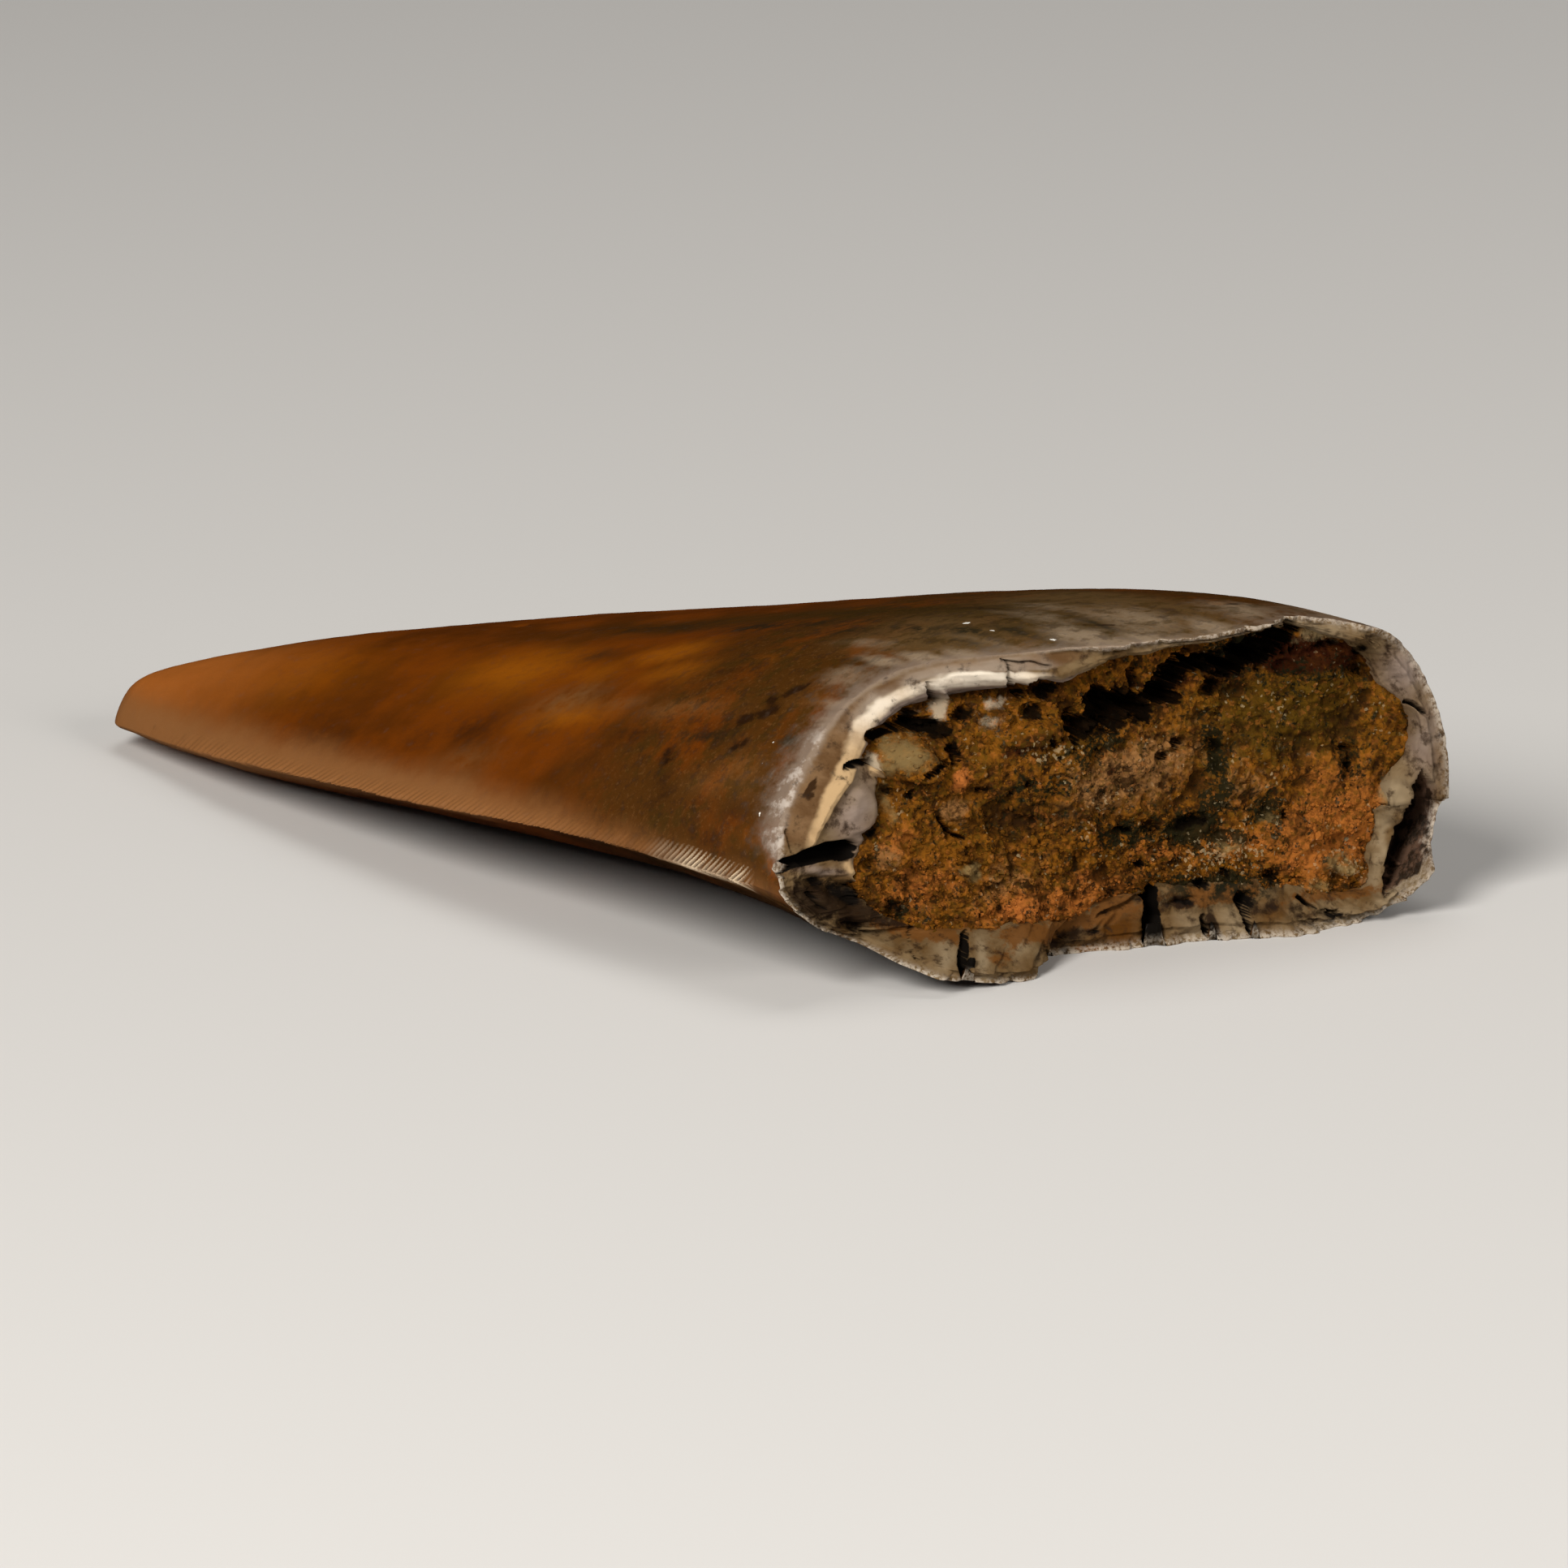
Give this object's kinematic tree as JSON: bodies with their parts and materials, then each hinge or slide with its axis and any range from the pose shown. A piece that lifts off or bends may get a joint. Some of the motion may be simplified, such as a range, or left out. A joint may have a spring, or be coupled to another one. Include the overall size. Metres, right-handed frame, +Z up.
{
  "type": "fossil theropod tooth",
  "caption": "Small fossil theropod tooth crown, a recurved serrated blade lying on its side, hollow at the broken root end and filled with rusty sandy sediment.",
  "frame": {"origin": "under the middle of the crown's box, on the surface that the tooth lies on", "axes": "tip towards -X and broken root end towards +X, serrated back edge on the -Y side and curved front edge on the +Y side, +Z up from the tongue side to the lip side"},
  "size_m": [0.0348, 0.015, 0.0067],
  "materials": {
    "tooth_enamel": "satin, amber brown enamel with darker mottling, grey and cream at the broken rim",
    "sediment": "rough ochre and rust coloured sandstone"
  },
  "bodies": {
    "root": {"tooth_crown": "tooth_enamel", "matrix_fill": "sediment"}
  },
  "joints": []
}
